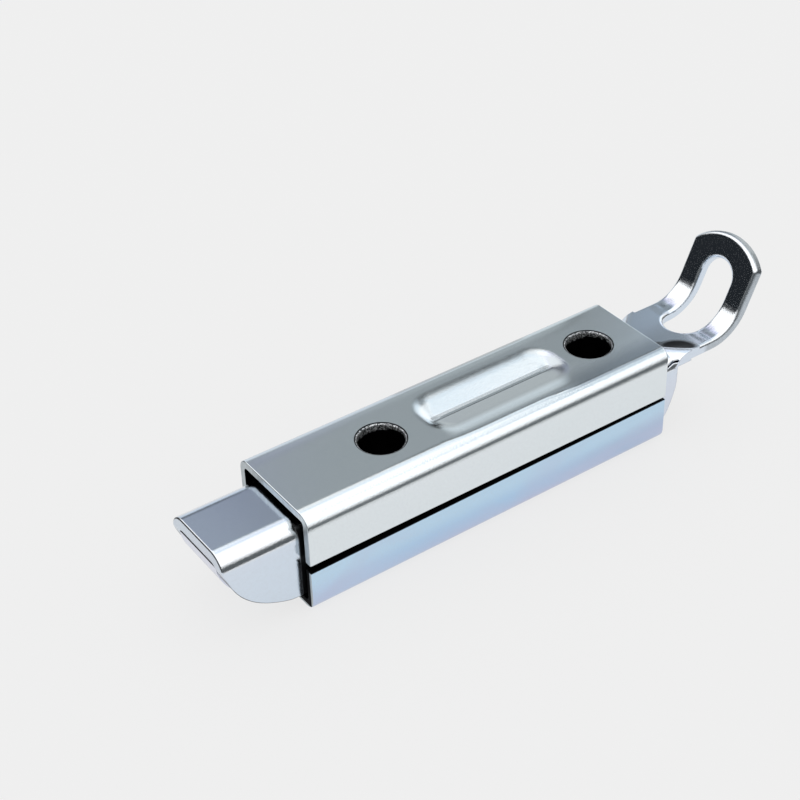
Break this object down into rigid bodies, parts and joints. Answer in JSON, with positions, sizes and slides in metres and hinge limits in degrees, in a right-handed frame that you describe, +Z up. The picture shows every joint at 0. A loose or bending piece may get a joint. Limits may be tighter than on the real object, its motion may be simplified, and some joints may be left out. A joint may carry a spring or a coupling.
{
  "type": "spring-loaded sliding bolt",
  "caption": "Folded sheet-steel sliding bolt: a sprung channel nose with a curved ramp slides in a screw-on box housing and is drawn back by a bent-up slotted pull loop.",
  "frame": {"origin": "midway between the two screw holes, on the underside of the base", "axes": "+X along the bolt from the nose towards the pull loop, +Z up, out of the surface the housing is screwed to"},
  "size_m": [0.0918, 0.0162, 0.0231],
  "materials": {
    "cover_zinc": "bright zinc plating",
    "base_zinc": "bright blue zinc plating",
    "bolt_zinc": "bright blue zinc plating",
    "bush_zinc": "turned, zinc plated",
    "spring_steel": "drawn spring wire"
  },
  "bodies": {
    "housing": {"cover": "cover_zinc", "base": "base_zinc", "front_bush": "bush_zinc", "rear_bush": "bush_zinc", "spring": "spring_steel"},
    "slider": {"bolt": "bolt_zinc", "ramp_plate": "bolt_zinc"}
  },
  "joints": [
    {"name": "bolt_slide", "type": "slide", "parent": "housing", "child": "slider", "axis": [1, 0, 0], "range_m": [0, 0.0115], "stiffness_N_per_m": 900, "springref_m": -0.008, "deforming": ["spring"]}
  ]
}
